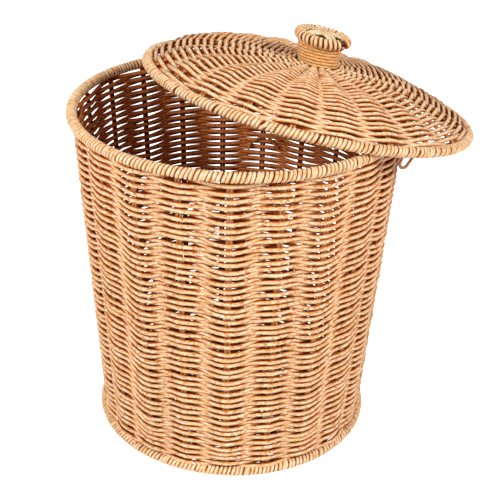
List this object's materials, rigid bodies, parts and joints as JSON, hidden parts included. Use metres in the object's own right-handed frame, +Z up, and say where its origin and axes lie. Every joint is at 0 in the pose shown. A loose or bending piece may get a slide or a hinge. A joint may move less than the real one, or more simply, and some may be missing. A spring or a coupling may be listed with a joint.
{
  "type": "woven waste basket",
  "caption": "Round tapered waste basket woven from cane over doubled stakes, with bound rim and foot, and a domed lift-off lid with a bound knob.",
  "frame": {"origin": "centre of the base's flat underside, on the floor", "axes": "+Z up along the basket's axis, out of its mouth; -Y towards the side that the picture shows; the lid is slid towards +X and a little +Y"},
  "size_m": [0.3368, 0.313, 0.3433],
  "materials": {
    "wall_cane": "satin mottled cane, woven",
    "base_cane": "satin mottled cane, woven flat",
    "lid_cane": "satin mottled cane, woven",
    "stake_cane": "satin mottled cane",
    "binding_cane": "satin mottled cane, closely wound",
    "lid_binding_cane": "satin mottled cane, closely wound",
    "knob_cane": "satin mottled cane, closely wound",
    "post_cane": "matt gathered cane",
    "hoop_wire": "drawn wire"
  },
  "bodies": {
    "basket": {"rim_hoop": "hoop_wire", "rim_binding": "binding_cane", "foot_hoop": "hoop_wire", "foot_binding": "binding_cane", "side_stake_01": "stake_cane", "side_stake_02": "stake_cane", "side_stake_03": "stake_cane", "side_stake_04": "stake_cane", "side_stake_05": "stake_cane", "side_stake_06": "stake_cane", "side_stake_07": "stake_cane", "side_stake_08": "stake_cane", "side_stake_09": "stake_cane", "side_stake_10": "stake_cane", "side_stake_11": "stake_cane", "side_stake_12": "stake_cane", "side_stake_13": "stake_cane", "side_stake_14": "stake_cane", "side_stake_15": "stake_cane", "side_stake_16": "stake_cane", "side_stake_17": "stake_cane", "side_stake_18": "stake_cane", "side_stake_19": "stake_cane", "side_stake_20": "stake_cane", "side_stake_21": "stake_cane", "side_weave": "wall_cane", "base_weave": "base_cane", "base_button": "base_cane"},
    "lid": {"lid_hoop": "hoop_wire", "lid_binding": "lid_binding_cane", "lid_stake_01": "stake_cane", "lid_stake_02": "stake_cane", "lid_stake_03": "stake_cane", "lid_stake_04": "stake_cane", "lid_stake_05": "stake_cane", "lid_stake_06": "stake_cane", "lid_stake_07": "stake_cane", "lid_stake_08": "stake_cane", "lid_stake_09": "stake_cane", "lid_stake_10": "stake_cane", "lid_stake_11": "stake_cane", "lid_stake_12": "stake_cane", "lid_stake_13": "stake_cane", "lid_stake_14": "stake_cane", "lid_stake_15": "stake_cane", "lid_stake_16": "stake_cane", "lid_stake_17": "stake_cane", "lid_stake_18": "stake_cane", "lid_stake_19": "stake_cane", "lid_stake_20": "stake_cane", "lid_stake_21": "stake_cane", "lid_weave": "lid_cane", "knob_post": "post_cane", "knob_neck_winding": "knob_cane", "knob_hoop": "hoop_wire", "knob_binding": "knob_cane", "knob_lattice": "knob_cane", "lid_loop": "stake_cane"}
  },
  "joints": [
    {"name": "lid_lift", "type": "slide", "parent": "basket", "child": "lid", "axis": [0, 0, 1], "range_m": [0, 0.08]}
  ]
}
